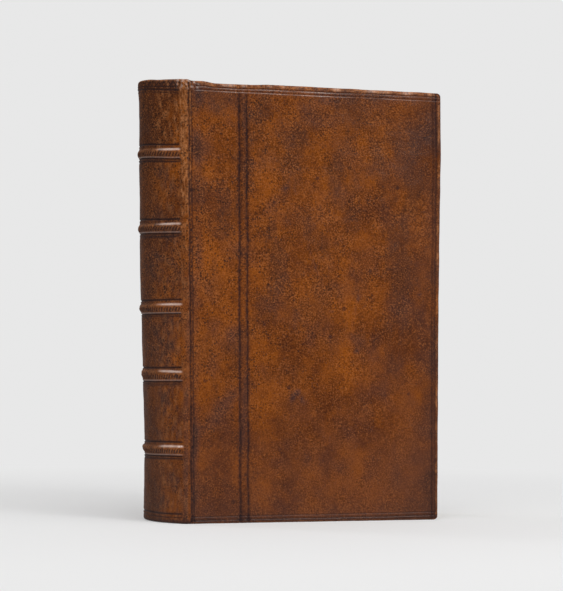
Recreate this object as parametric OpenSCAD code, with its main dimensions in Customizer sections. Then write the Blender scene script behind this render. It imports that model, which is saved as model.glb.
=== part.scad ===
// Octavo in full calf over pasteboard, sewn on five raised cords and tooled in blind, stood on its tail.
// X runs from the spine to the fore-edge, Y from the front cover to the back, Z from the tail to the head.
// The shapes are drawn with the joints at X = 0 and then moved so that the book is centred on the origin.

/* [Book] */
// Height of the covers
board_h = 196; // [160:1:240]
// Width of a cover, from the joint to the fore-edge
cover_w = 120; // [95:1:150]
// Thickness of the closed book
book_t = 50; // [38:1:62]
// How far the covers overhang the leaves at the head and tail
square = 3.2; // [2.8:0.1:5]
// How far the covers overhang the leaves at the fore-edge
fore_square = 3.4; // [2:0.1:6]

/* [Covers] */
// Thickness of the pasteboard
board_t = 3.3; // [2.6:0.1:4.5]
// Rounding of the leather along the edges of a cover
edge_r = 0.9; // [0.5:0.1:1.2]
// Wear at the two outer corners of a cover
corner_r = 1.8; // [1:0.1:4]
// Running clearance between a cover and the back of the book
hinge_gap = 0.3; // [0.3:0.1:0.8]

/* [Leather and papers] */
// Thickness of the leather
leather_t = 0.9; // [0.7:0.1:1.2]
// Thickness of the pared turn-ins
turn_in_t = 0.5; // [0.3:0.1:0.8]
// Width of the turn-ins inside a cover
turn_in_w = 14; // [8:1:20]
// Thickness of a pastedown
paste_t = 0.25; // [0.15:0.05:0.4]
// Leather left showing round a pastedown
paste_margin = 4.5; // [2:0.5:7]

/* [Spine] */
// Angle from the middle of the spine to each joint
round_angle = 42; // [38:1:58]
// Radius of the worn ridge along each joint
ridge_r = 4; // [3:0.1:6]
// Height of the ridges above the covers at the head
ridge_rise = 1.3; // [0:0.1:1.8]
// Height of the head cap above the covers
cap_rise = 2.6; // [0.6:0.1:3.4]
// How far the head cap flares out from the spine
cap_flare = 1; // [0:0.1:1.5]
// Depth of the caps, inwards over the endbands
cap_w = 3.4; // [2.6:0.1:4.5]
// Height of a raised band
band_rise = 1.1; // [0.9:0.1:2]
// Width of a raised band
band_w = 5.6; // [4.8:0.1:8]
// Thickness of the lining between the bands
lining_t = 0.3; // [0.2:0.05:0.6]

/* [Sewing] */
// Radius of a sewing cord
cord_r = 1.35; // [0.9:0.05:1.5]
// How far the middle of a cord stands off the folds of the leaves
cord_rise = 0.35; // [0:0.05:0.4]
// Half the width of a slip where it is hammered flat in the board
slip_w = 1.4; // [1:0.1:2]
// Thickness of a flattened slip
slip_t = 0.8; // [0.5:0.1:1.1]
// Distance from the joint to the first lacing hole
lace_x = 8; // [6:0.5:14]
// Step from the first lacing hole to the second, towards the fore-edge and the tail
lace_step = 5; // [4:0.5:8]
// Radius of an endband with its thread
endband_r = 1.1; // [0.9:0.05:1.2]
// Radius of the core inside an endband
endband_core_r = 0.65; // [0.4:0.05:0.8]

/* [Blind tooling] */
// Width of a tooled line
line_w = 0.6; // [0.4:0.1:1]
// Depth of a tooled line
line_d = 0.25; // [0.15:0.05:0.35]
// Distance from the edge of a cover to the outer line
frame_in = 1.6; // [1.2:0.1:4]
// Distance between the two lines of a pair
pair_w = 1.5; // [1:0.1:3]
// Distance from the joint to the upright strip
strip_x = 24; // [15:0.5:40]
// Distance between the two lines of the upright strip
strip_w = 3.4; // [2:0.1:6]
// Distance from the joint to the line beside it
joint_line_x = 1.6; // [1.2:0.1:4]
// Distance from a band to the line above and below it
band_line = 1.2; // [0.8:0.1:3]
// Distance from the head of the covers down to the line round the spine
head_line = 3.3; // [2.4:0.1:8]
// Height of the line round the tail of the spine
tail_line = 4.3; // [2.4:0.1:8]

/* [Hidden] */
$fn = 96;
bands = 5;
// The sewer spaced the bands by eye, so each lies a little off an even sixth of the height.
sewing_drift = [0.2, 0.4, -2.4, 0.7, 1.1];

calf = "#6f3c1c";
dark_calf = "#5a3220";
pasteboard = "#a8906c";
leaf = "#dccfab";
paper = "#e4dabc";
parchment = "#cdbf98";
hemp = "#b59c6c";
silk = "#8e4a36";

layer_gap = 0.03;
bed_gap = 0.05;
leaf_gap = 0.3;
paste_in = 0.3;
ridge_lap = 5;
reach = 200;

outer_y = book_t / 2;
side_x = hinge_gap / 2;
ridge_x = -2 * side_x;
spine_r = ridge_r + (outer_y - ridge_r) / sin(round_angle);
axis_x = ridge_x + (outer_y - ridge_r) / tan(round_angle);
skin_r = spine_r - leather_t;
block_r = skin_r - lining_t;
bulge = spine_r - axis_x;

cover_t = leather_t + board_t + turn_in_t;
board_in_y = outer_y - leather_t - board_t;
leaf_y = outer_y - cover_t - paste_t - leaf_gap;
ear_y = outer_y - leather_t - layer_gap;
fore_x = cover_w - fore_square;
leaf_w = fore_x - axis_x + sqrt(pow(block_r, 2) - pow(leaf_y, 2));
leaves_top = board_h - square;

cord_c = block_r + cord_rise;
cord_end_y = outer_y - ridge_r - 0.4;
band_end_y = cord_end_y + 1.2;
endband_c = block_r - endband_r;
lining_end = 4;
endband_end = 5;
cap_top = board_h + cap_rise;
cap_under = leaves_top + 2 * endband_r + layer_gap;
tail_over = square - 2 * endband_r - layer_gap;

shift_x = (bulge + max(band_rise, cap_flare) - cover_w) / 2;

// Height of the middle of cord i
function cord_z(i) = board_h * i / (bands + 1) + sewing_drift[i - 1];

// Points along an arc about c, from angle a to angle b in n steps
function arc(c, r, a, b, n = 6) = [for (k = [0:n]) c + r * [cos(a + (b - a) * k / n), sin(a + (b - a) * k / n)]];

// Outline of a strap with round ends, from p to q
function strap(p, q, r) =
    let (a = atan2(q[1] - p[1], q[0] - p[0]))
    concat(arc(q, r, a - 90, a + 90), arc(p, r, a + 90, a + 270));

// A tooled line pressed into the spine at height z, as points of its profile going up
function spine_line(z, r = spine_r) = [[r, z - line_w / 2], [r - line_d, z], [r, z + line_w / 2]];

// The lines beside every band, from the tail to the head
spine_lines = [for (i = [1:bands]) each [
    each spine_line(cord_z(i) - band_w / 2 - band_line),
    each spine_line(cord_z(i) + band_w / 2 + band_line)
]];

cap_round = 1.3;
cap_lip = 0.8;
flare_r = spine_r + cap_flare;
flare_low = board_h - head_line - 10;
flare_high = board_h - head_line - 1.5;
bed_relief = 0.06;
bed_reach = cord_r + lining_t + 0.2;

// Inside of the leather where it is pulled over cord i and stands a little off the linings, going down
function over_cord(i) = let (z = cord_z(i), r = skin_r + bed_relief) [
    [skin_r, z + bed_reach + bed_relief], [r, z + bed_reach], [r, z - bed_reach], [skin_r, z - bed_reach - bed_relief]
];

// Half section of the leather over the spine, with the caps turned in over the endbands
spine_section = concat(
    arc([spine_r - cap_round, cap_round], cap_round, -90, 0),
    spine_line(tail_line),
    spine_lines,
    [for (k = [0:6]) [spine_r + cap_flare * (1 - cos(30 * k)) / 2, flare_low + (flare_high - flare_low) * k / 6]],
    spine_line(board_h - head_line, flare_r),
    arc([flare_r - cap_round, cap_top - cap_round], cap_round, 0, 90),
    arc([spine_r - cap_w + cap_lip, cap_top - 0.3 - cap_lip], cap_lip, 90, 180),
    [[spine_r - cap_w, cap_under], [skin_r, cap_under]],
    [for (i = [bands:-1:1]) each over_cord(i)],
    [[skin_r, tail_over], [spine_r - cap_w, tail_over], [spine_r - cap_w, 0.3], [spine_r - cap_w + 0.3, 0]]
);

// Half section of one raised band: a smooth swell over the cord
band_section = concat(
    [[spine_r - leather_t / 2, -band_w / 2]],
    [for (k = [-6:6]) [spine_r + band_rise * (1 + cos(30 * k)) / 2, band_w * k / 12]],
    [[spine_r - leather_t / 2, band_w / 2]]
);

// Plan of the worn ridge at the front joint, let into the end of the spine's leather
function spine_at(r, a) = [axis_x - r * cos(a), -r * sin(a)];
ridge_plan = concat(
    arc([ridge_x, ridge_r - outer_y], ridge_r - layer_gap, 180 + round_angle - ridge_lap, 270),
    [[-side_x, layer_gap - outer_y], [-side_x, -ear_y - layer_gap],
     [axis_x - sqrt(pow(block_r, 2) - pow(ear_y, 2)) - layer_gap, -ear_y - layer_gap],
     spine_at(skin_r + leather_t / 4, round_angle - ridge_lap / 4)]
);

module seat() {
    translate([shift_x, 0, 0]) children();
}

// Turns a half section about the middle of the spine's round, as far as angle a on each side
module around_spine(a) {
    translate([axis_x, 0, 0]) rotate([0, 0, 180 - a]) rotate_extrude(angle = 2 * a) children();
}

// Everything on the spine side within y of the middle
module spine_slab(y) {
    translate([-reach, -y, -reach]) cube([reach - side_x, 2 * y, 3 * reach]);
}

// The five cords, or the beds that they lie in when c is more than 0
module cord(i, c = 0) {
    intersection() {
        around_spine(round_angle) translate([cord_c, cord_z(i)]) circle(cord_r + c);
        spine_slab(cord_end_y + c);
    }
}

// Extrudes an outline of the X and Z directions, from y0 to y1
module upright(y0, y1) {
    translate([0, y1, 0]) rotate([90, 0, 0]) linear_extrude(y1 - y0) children();
}

module text_block() {
    color(leaf) difference() {
        translate([0, 0, square]) linear_extrude(leaves_top - square) {
            intersection() {
                translate([axis_x, 0]) circle(block_r);
                translate([-reach, -ear_y]) square([reach - side_x, 2 * ear_y]);
            }
            difference() {
                translate([-3 * side_x, -leaf_y]) square([fore_x + 3 * side_x, 2 * leaf_y]);
                translate([axis_x + leaf_w, 0]) circle(block_r);
            }
        }
        for (i = [1:bands]) cord(i, bed_gap);
    }
}

module sewing_cord(i) {
    color(hemp) cord(i);
}

// Parchment between two cords, or between a cord and the end of the leaves
module spine_lining(i) {
    z0 = i == 1 ? square : cord_z(i - 1) + cord_r + lining_t;
    z1 = i == bands + 1 ? leaves_top : cord_z(i) - cord_r - lining_t;
    color(parchment) around_spine(round_angle - lining_end)
        translate([block_r + layer_gap, z0]) square([lining_t - 2 * layer_gap, z1 - z0]);
}

module endband(z) {
    around_spine(round_angle - endband_end) translate([endband_c, z]) difference() {
        circle(endband_r);
        circle(endband_core_r);
    }
}

module endband_core(z) {
    around_spine(round_angle - endband_end) translate([endband_c, z]) circle(endband_core_r - layer_gap);
}

module spine_ridge() {
    linear_extrude(board_h + ridge_rise) polygon(ridge_plan);
}

module spine_leather() {
    color(dark_calf) difference() {
        union() {
            around_spine(round_angle) polygon(spine_section);
            for (i = [1:bands]) intersection() {
                around_spine(round_angle) translate([0, cord_z(i)]) polygon(band_section);
                spine_slab(band_end_y);
            }
            spine_ridge();
            mirror([0, 1, 0]) spine_ridge();
        }
        for (i = [1:bands]) cord(i, bed_gap);
    }
}

// The places of the lacing holes of slip i
function lace_1(i) = [lace_x, cord_z(i)];
function lace_2(i) = [lace_x + lace_step, cord_z(i) - lace_step];

// A slip: flat over the outside of the board, in at the first hole, flat inside, out at the second and frayed
module slip(i, c = 0) {
    face_y = -outer_y + leather_t;
    fan = lace_2(i);
    upright(face_y - c, face_y + slip_t + c)
        polygon(strap([side_x + 0.2 + slip_w, cord_z(i)], lace_1(i), slip_w + c));
    upright(-board_in_y - slip_t - c, -board_in_y + c) polygon(strap(lace_1(i), lace_2(i), slip_w - 0.2 + c));
    for (hole = [lace_1(i), lace_2(i)])
        translate([hole[0], face_y + slip_t / 2, hole[1]]) rotate([-90, 0, 0])
            cylinder(r = slip_w - 0.4 + c, h = board_t - slip_t);
    upright(face_y - c, face_y + slip_t / 2 + c)
        polygon(concat(arc(fan, slip_w - 0.1 + c, 135, 315), arc(fan, 2.6 * slip_w + c, -28, 118)));
}

module board() {
    color(pasteboard) difference() {
        translate([side_x, -outer_y + leather_t, leather_t])
            cube([cover_w - leather_t - side_x, board_t, board_h - 2 * leather_t]);
        for (i = [1:bands]) slip(i, bed_gap);
    }
}

module lacing_slip(i) {
    color(hemp) slip(i);
}

// A cover's outside: three outlines with round corners, one seen along each direction
module cover_form() {
    in_y = -outer_y + cover_t;
    intersection() {
        linear_extrude(board_h) polygon(concat(
            [[side_x, in_y], [side_x, -outer_y]],
            arc([cover_w - edge_r, -outer_y + edge_r], edge_r, 270, 360, 4),
            arc([cover_w - edge_r, in_y - edge_r], edge_r, 0, 90, 4)
        ));
        translate([side_x, 0, 0]) rotate([90, 0, 90]) linear_extrude(cover_w) polygon(concat(
            arc([-outer_y + edge_r, edge_r], edge_r, 180, 270, 4),
            arc([in_y - edge_r, edge_r], edge_r, 270, 360, 4),
            arc([in_y - edge_r, board_h - edge_r], edge_r, 0, 90, 4),
            arc([-outer_y + edge_r, board_h - edge_r], edge_r, 90, 180, 4)
        ));
        upright(-outer_y - 1, in_y + 1) polygon(concat(
            [[side_x, board_h], [side_x, 0]],
            arc([cover_w - corner_r, corner_r], corner_r, 270, 360, 5),
            arc([cover_w - corner_r, board_h - corner_r], corner_r, 0, 90, 5)
        ));
    }
}

// The notch of a tooled line, with its point below the surface
module line_notch(length) {
    linear_extrude(length) polygon([[-line_w, -line_d], [line_w, -line_d], [0, line_d]]);
}

module upright_line(x) {
    translate([x, -outer_y, -1]) line_notch(board_h + 2);
}

module level_line(z) {
    translate([-1, -outer_y, z]) rotate([90, 0, 90]) line_notch(cover_w + 2);
}

// Blind lines of a cover: a pair round the edges, one beside the joint and the upright strip
module cover_tooling() {
    for (x = [joint_line_x, strip_x, strip_x + strip_w, cover_w - frame_in - pair_w, cover_w - frame_in])
        upright_line(x);
    for (z = [frame_in, frame_in + pair_w, board_h - frame_in - pair_w, board_h - frame_in])
        level_line(z);
}

// The part of a cover's inside that the turn-ins leave open, reaching y0 to y1
module window(y0, y1, inset = 0) {
    translate([side_x - 1, y0, turn_in_w + inset])
        cube([cover_w - turn_in_w - inset - side_x + 1, y1 - y0, board_h - 2 * turn_in_w - 2 * inset]);
}

module cover_leather() {
    color(calf) difference() {
        cover_form();
        translate([0, -outer_y + leather_t, leather_t]) cube([cover_w - leather_t, board_t, board_h - 2 * leather_t]);
        window(-board_in_y - 1, -board_in_y + turn_in_t + 1);
        cover_tooling();
    }
}

// A sheet that lies on the board inside the window and steps up over the turn-ins
module pastedown() {
    in_y = -board_in_y;
    color(paper) difference() {
        translate([side_x + paste_in, in_y, paste_margin])
            cube([cover_w - paste_margin - side_x - paste_in, turn_in_t + paste_t, board_h - 2 * paste_margin]);
        difference() {
            translate([-1, in_y - 1, -1]) cube([cover_w + 2, turn_in_t + 1, board_h + 2]);
            window(in_y - 2, in_y + turn_in_t + 1);
        }
        window(in_y + paste_t, in_y + turn_in_t + paste_t + 1, paste_t);
    }
}

module back() {
    mirror([0, 1, 0]) children();
}

seat() text_block();
seat() spine_leather();
seat() color(silk) endband(leaves_top + endband_r);  // head_band
seat() color(hemp) endband_core(leaves_top + endband_r);  // head_band_core
seat() color(silk) endband(square - endband_r);  // tail_band
seat() color(hemp) endband_core(square - endband_r);  // tail_band_core
for (i = [1:bands]) seat() sewing_cord(i);
for (i = [1:bands + 1]) seat() spine_lining(i);
seat() board();  // front_board
seat() cover_leather();  // front_leather
seat() pastedown();  // front_pastedown
for (i = [1:bands]) seat() lacing_slip(i);
seat() back() board();  // back_board
seat() back() cover_leather();  // back_leather
seat() back() pastedown();  // back_pastedown
for (i = [1:bands]) seat() back() lacing_slip(i);
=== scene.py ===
# An octavo in old sprinkled calf, stood on its tail: its skin, leaves and papers, built round the frame.
# Lengths are millimetres and x = 0 is at the joints, until make_piece turns them into metres in the frame.
import math

import bmesh
import bpy
import numpy as np
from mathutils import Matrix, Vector


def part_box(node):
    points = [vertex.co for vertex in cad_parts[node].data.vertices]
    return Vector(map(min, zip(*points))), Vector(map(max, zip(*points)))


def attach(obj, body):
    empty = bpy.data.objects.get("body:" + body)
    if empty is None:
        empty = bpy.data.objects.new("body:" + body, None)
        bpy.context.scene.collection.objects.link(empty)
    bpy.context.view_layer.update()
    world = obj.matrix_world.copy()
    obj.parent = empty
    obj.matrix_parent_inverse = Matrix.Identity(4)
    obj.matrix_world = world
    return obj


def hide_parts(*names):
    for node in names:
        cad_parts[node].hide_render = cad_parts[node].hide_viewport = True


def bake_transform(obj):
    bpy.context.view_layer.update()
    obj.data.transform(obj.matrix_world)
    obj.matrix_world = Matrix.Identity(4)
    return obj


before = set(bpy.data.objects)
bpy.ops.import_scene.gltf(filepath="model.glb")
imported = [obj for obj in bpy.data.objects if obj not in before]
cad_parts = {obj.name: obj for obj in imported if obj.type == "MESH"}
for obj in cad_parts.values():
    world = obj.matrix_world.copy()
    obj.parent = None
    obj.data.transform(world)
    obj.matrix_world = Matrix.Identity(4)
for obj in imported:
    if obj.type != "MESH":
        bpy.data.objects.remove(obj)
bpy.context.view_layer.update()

MM = 0.001
# The slit that the source leaves between the back and a cover
HINGE_GAP = 0.3


def box_mm(node):
    """The lowest and highest corner of a node of the frame, in millimetres."""
    low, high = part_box(node)
    return np.array(low) / MM, np.array(high) / MM


# Sizes read off the frame
cover_low, cover_high = box_mm("front_leather")
leaf_low, leaf_high = box_mm("text_block")
paste_low, paste_high = box_mm("front_pastedown")
JOINT_X = cover_low[0] - HINGE_GAP / 2
COVER_W = cover_high[0] - JOINT_X
COVER_H = cover_high[2]
COVER_T = cover_high[1] - cover_low[1]
OUTER_Y = -cover_low[1]
FOOT, HEAD = leaf_low[2], leaf_high[2]
EAR_Y = leaf_high[1]
FORE_X = leaf_high[0] - JOINT_X
BAND_Z = [sum(box_mm(f"sewing_cord_{i}")[k][2] for k in (0, 1)) / 2 for i in range(1, 6)]
cord_low, cord_high = box_mm("sewing_cord_3")
CORD_OUT = JOINT_X - cord_low[0]
CORD_R = (cord_high[2] - cord_low[2]) / 2

# The binding
ROUND = math.radians(42)
RIDGE_R = 4.0
LEATHER_T = 0.9
LINING_T = 0.3
EDGE_R = 0.9
CORNER_R = 1.9
TURN_IN_W = 14.0
TURN_IN_T = 0.5
CAP_W = 3.4
CAP_LIP = 0.8
# The five bands, from the tail up: how far each stands out, and how far its crest has moved up
BAND_RISE = [0.85, 0.62, 0.72, 0.7, 0.68]
BAND_SHIFT = [0.0, 0.75, 0.05, -0.4, -0.5]
BAND_W = 5.4
# Form of a band from its lower foot (-1) to its upper one (1)
BAND_FORM = ([-0.85, -0.15, 0.2, 0.75], [0, 1, 1, 0])
LEAF_Y = 19.75
GATHERINGS = 24
ENDBAND_R = 1.1
THREAD_W = 0.78
core_low, core_high = box_mm("head_band_core")
CORE_R = (core_high[2] - core_low[2]) / 2

# The plan of the skin: a round spine, a small arc at each ridge and a straight line to each cover
RIDGE_X = -HINGE_GAP
RIDGE_Y = OUTER_Y - RIDGE_R
SPINE_R = RIDGE_R + RIDGE_Y / math.sin(ROUND)
AXIS_X = RIDGE_X + RIDGE_Y / math.tan(ROUND)
BULGE = SPINE_R - AXIS_X
BLOCK_R = SPINE_R - LEATHER_T - LINING_T
SPINE_END = SPINE_R * ROUND
RIDGE_END = SPINE_END + RIDGE_R * (math.pi / 2 - ROUND)
JOINT_S = RIDGE_END - RIDGE_X
JOINT_HALF = 1.2
ENDBAND_REACH = BLOCK_R - ENDBAND_R

# The outer corners of a cover: the centres of their arcs, and the arcs' radius on the face
CORNER_X = COVER_W - CORNER_R
CORNER_LOW, CORNER_HIGH = CORNER_R, COVER_H - CORNER_R
CORNER_BOW = CORNER_R - EDGE_R

# How the old spine has settled, as tables of places and the values there. By height: how far it stands out
# from the joints, and how far its middle has risen. By distance from the middle: the rise of the head's edge
ROUND_OUT = ([0, 5, 30, 55, 78, 87, 105, 121, 143, 156, 176, 187, 193],
             [10.8, 10.9, 11.7, 12.7, 13.8, 14.25, 15.1, 15.6, 15.95, 16.2, 16.5, 16.8, 17.3])
LIFT = ([0, 33, 100, 131, 164, 193, 196], [0, -0.45, 0, 0.4, 1.25, 1.85, 1.85])
RISE = ([0, 6, 14, 22, 27, 29.6, 34.6, 40.5, 50, 57, 66],
        [2.05, 1.9, 1.3, 1.1, 0.75, 0.1, 0.2, -0.6, -0.6, -0.4, 0])
# The most that the spine stands inside its plain round, and the zone at the head that rises with its edge
LEAN_IN = 0.5
CAP_ZONE = 5.0
# How far from the middle of the spine the lean, the arch and the moved crests of the bands die away
LEAN_REACH = 28
ARCH_REACH = 26
CREST_REACH = 30

# Blind tooling: heights of the lines and the roll on the spine, and the steps of the roll and the rope
HEAD_LINE = 192.0
TAIL_LINE = 4.3
ROLL_Z = 194.35
ROLL_TEETH = 193.1
ROLL_STEP = 2.3
ROPE_STEP = 1.45
ROPE_RISE = 2.4
ROPE_D = 0.13
# Lines beside a band: distance beyond its edge, above it or below it, width and depth
BAND_LINES = [(0.5, 0.32, 0.36), (-0.35, 0.3, 0.36), (-1.5, 0.26, 0.26)]
# Lines across the spine at head and tail: height, width, depth and how dark
SPINE_LINES = [(HEAD_LINE, 0.36, 0.26, 1), (HEAD_LINE - 1.3, 0.24, 0.1, 0.5),
               (TAIL_LINE, 0.36, 0.26, 1), (TAIL_LINE - 1.6, 0.26, 0.14, 0.7)]
# Lines up a cover: distance from the joint at the head, at the tail, width, depth and how dark
UPRIGHTS = [(-1.7, 1.6, 0.38, 0.28, 1.0), (-0.5, 2.7, 0.28, 0.14, 0.9), (21.8, 24.35, 0.52, 0.36, 1.0),
            (25.4, 28.1, 0.46, 0.28, 1.0), (115.6, 116.7, 0.3, 0.2, 0.45), (117.3, 118.3, 0.3, 0.22, 0.6)]
# Lines along a cover: height at the joint, height at the fore-edge, width, depth and how dark
LEVELS = [(1.4, 2.0, 0.26, 0.14, 0.1), (3.0, 3.6, 0.24, 0.18, 0.35), (192.2, 192.5, 0.22, 0.14, 0.25),
          (193.75, 194.1, 0.22, 0.16, 0.35)]
# How much narrower than square the old covers are at each height
TAPER = ([0, 17, 40, 80, 103, 126, 149, 167, 183, 196],
         [0.55, 0.55, 0.6, 0.6, 0.5, 0.35, 0.1, -0.1, 0.1, 0.25])

# Stains on the front's side: distance from the joint, which is negative on the spine, then height, two radii,
# slant in degrees and strength
STAINS = [
    (-8.5, 186, 3.5, 4.5, 15, 0.45), (-13, 181, 6, 3, 0, 0.25), (-9, 170, 2.5, 4, 0, 0.35),
    (-10, 150, 5, 3, 10, 0.35), (-12, 177, 10, 12, 0, -0.4), (-14, 146, 9, 12, 0, 0.15),
    (-7.5, 118, 2.5, 6, 0, 0.35), (-9, 90, 6, 2.5, 0, 0.45), (-8, 60, 3, 3, 0, 0.35),
    (-12, 40, 8, 4, 0, 0.3), (-0.8, 81, 1.6, 11, 0, 0.8), (-0.6, 118, 1.4, 6, 0, 0.4),
    (-1, 58, 1.5, 7, 0, 0.5), (-0.5, 145, 1.5, 5, 0, 0.5), (10.5, 70, 4, 5, 0, 0.5),
    (11, 88, 3.5, 4, 0, 0.4), (20, 84, 3, 5, -20, 0.5), (7.5, 167, 3.2, 6, 0, 0.55),
    (58.6, 115.3, 0.6, 10, 21, 0.5), (78.3, 94, 0.55, 6.5, -10, 0.5), (3, 188, 3, 5, 0, 0.4),
    (15, 51, 4, 11, -38, 0.75), (2.8, 165, 3.2, 8, 8, 0.8), (2.5, 34, 2.4, 9, -4, 0.6),
    (3.5, 12, 2.4, 6, -4, 0.4), (4.5, 118, 2.8, 9, 3, 0.45), (25.5, 50, 1.7, 18, -2, 0.8),
    (25, 178, 2.6, 12, 0, 0.35), (49.2, 56.6, 1.1, 2.6, -30, 1.1), (53.2, 54.6, 0.9, 2.0, 30, 0.9),
    (51.3, 58.2, 1.1, 0.9, 0, 1.2), (44.3, 149.9, 1.3, 1.1, 0, 1.1), (79.2, 76.7, 1.2, 0.9, 0, 0.8),
    (67, 94.7, 0.9, 0.9, 0, 0.8), (109.9, 102.8, 1.0, 1.0, 0, 0.8), (80, 100.8, 0.8, 1.6, -25, 0.7),
    (36, 140, 2.5, 14, -40, 0.35), (72, 148, 5, 30, -50, 0.3), (62, 181, 16, 5, -8, 0.35),
    (104, 170, 10, 18, -35, 0.3), (92, 66, 8, 22, -42, 0.2), (60, 30, 14, 9, -30, 0.15),
    (108, 20, 16, 12, -30, 0.25), (-13, 81, 9, 11, 0, 0.85), (-15, 112, 9, 11, 0, 0.4),
    (-14, 50, 9, 12, 0, 0.3), (-9, 143, 3, 6, 0, 0.3),
]


def smooth(value, start, end):
    """0 before start, 1 after end, and an S-shaped way between them."""
    t = np.clip((value - start) / (end - start), 0, 1)
    return t * t * (3 - 2 * t)


def steps(value, table):
    """The second list of a table read at the places of its first, with an S-shaped way between neighbours."""
    places, heights = table
    total = np.full(np.shape(value), float(heights[0]))
    for i in range(len(places) - 1):
        total = total + (heights[i + 1] - heights[i]) * smooth(value, places[i], places[i + 1])
    return total


WAVE_COUNT = 14


def waves(u, v, size, seed):
    """Rolling ground between about -1 and 1: sine waves of about one length, added in random directions."""
    rng = np.random.default_rng(seed)
    total = np.zeros(np.broadcast(u, v).shape)
    for _ in range(WAVE_COUNT):
        way = rng.uniform(0, 2 * math.pi)
        pitch = 2 * math.pi / (size * rng.uniform(0.7, 1.5))
        total += np.sin(pitch * (u * math.cos(way) + v * math.sin(way)) + rng.uniform(0, 2 * math.pi))
    return total / math.sqrt(WAVE_COUNT)


def hill(value):
    """A round hill: 1 at 0, falling off as the bell curve does."""
    return np.exp(-value ** 2)


def groove(distance, width, depth):
    """A line pressed in by a warm tool: a bell-shaped groove with a low lip of leather on each side."""
    t = distance / width
    return -depth * hill(t) + 0.24 * depth * hill((np.abs(t) - 2.1) / 0.7)


def spread(low, high, count, knots):
    """Places from low to high at equal steps of a density, which is 1, and `more` near each knot.
    A knot is its place, about how far it reaches, and how much more."""
    fine = np.linspace(low, high, 20001)
    density = np.ones_like(fine)
    for place, reach, more in knots:
        density = np.maximum(density, more * hill((fine - place) / reach))
    total = np.concatenate([[0], np.cumsum((density[1:] + density[:-1]) / 2)])
    return np.interp(np.linspace(0, total[-1], count), total, fine)


def plan(s):
    """Plan of the skin at the distance s along it from the middle of the spine, negative on the front's side.
    The spine is an arc, each ridge a smaller arc that it runs into, and each cover a straight line.
    Gives x, y and the way that the skin faces."""
    a = np.abs(s)
    side = np.where(s < 0, -1.0, 1.0)
    turn = np.where(a < SPINE_END, a / SPINE_R, ROUND + (a - SPINE_END) / RIDGE_R)
    turn = np.minimum(turn, math.pi / 2)
    spine = a < SPINE_END
    x = np.where(spine, AXIS_X - SPINE_R * np.cos(turn), RIDGE_X - RIDGE_R * np.cos(turn))
    y = np.where(spine, SPINE_R * np.sin(turn), RIDGE_Y + RIDGE_R * np.sin(turn))
    return x + np.maximum(a - RIDGE_END, 0), side * y, -np.cos(turn), side * np.sin(turn)


def middle(s, reach):
    """1 in the middle of the spine and 0 from `reach` on, with a cosine's way between them."""
    return np.cos(math.pi / 2 * np.clip(np.abs(s) / reach, 0, 1)) ** 2


def lean(z):
    """How far the spine stands out beyond its plain round at the height z."""
    return np.maximum(np.interp(z, *ROUND_OUT) - BULGE, -LEAN_IN)


def settled(s, z):
    """Height of a point of the settled skin: the bands are arched, and the head rises in its middle."""
    arch = np.interp(z, *LIFT) * middle(s, ARCH_REACH)
    crown = steps(np.abs(s), RISE) - LIFT[1][-1] * middle(s, ARCH_REACH)
    return z + arch + crown * smooth(z, COVER_H - CAP_ZONE, COVER_H)


def ridge_start(z):
    """Where the worn ridge starts, as a distance along the skin: the ridge is broadest at the head."""
    return np.interp(z, [8, 98, 188], [27.6, 26.0, 24.0])


def frayed_and_highlit(s, z):
    """How far the head edge of a cover is rubbed bare, in patches that also take a painted highlight: 0 to 1.
    """
    return smooth(z, COVER_H - 1.9, COVER_H - 0.9) * np.clip(waves(s, z / 4, 6.5, 62), 0, 1)


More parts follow.
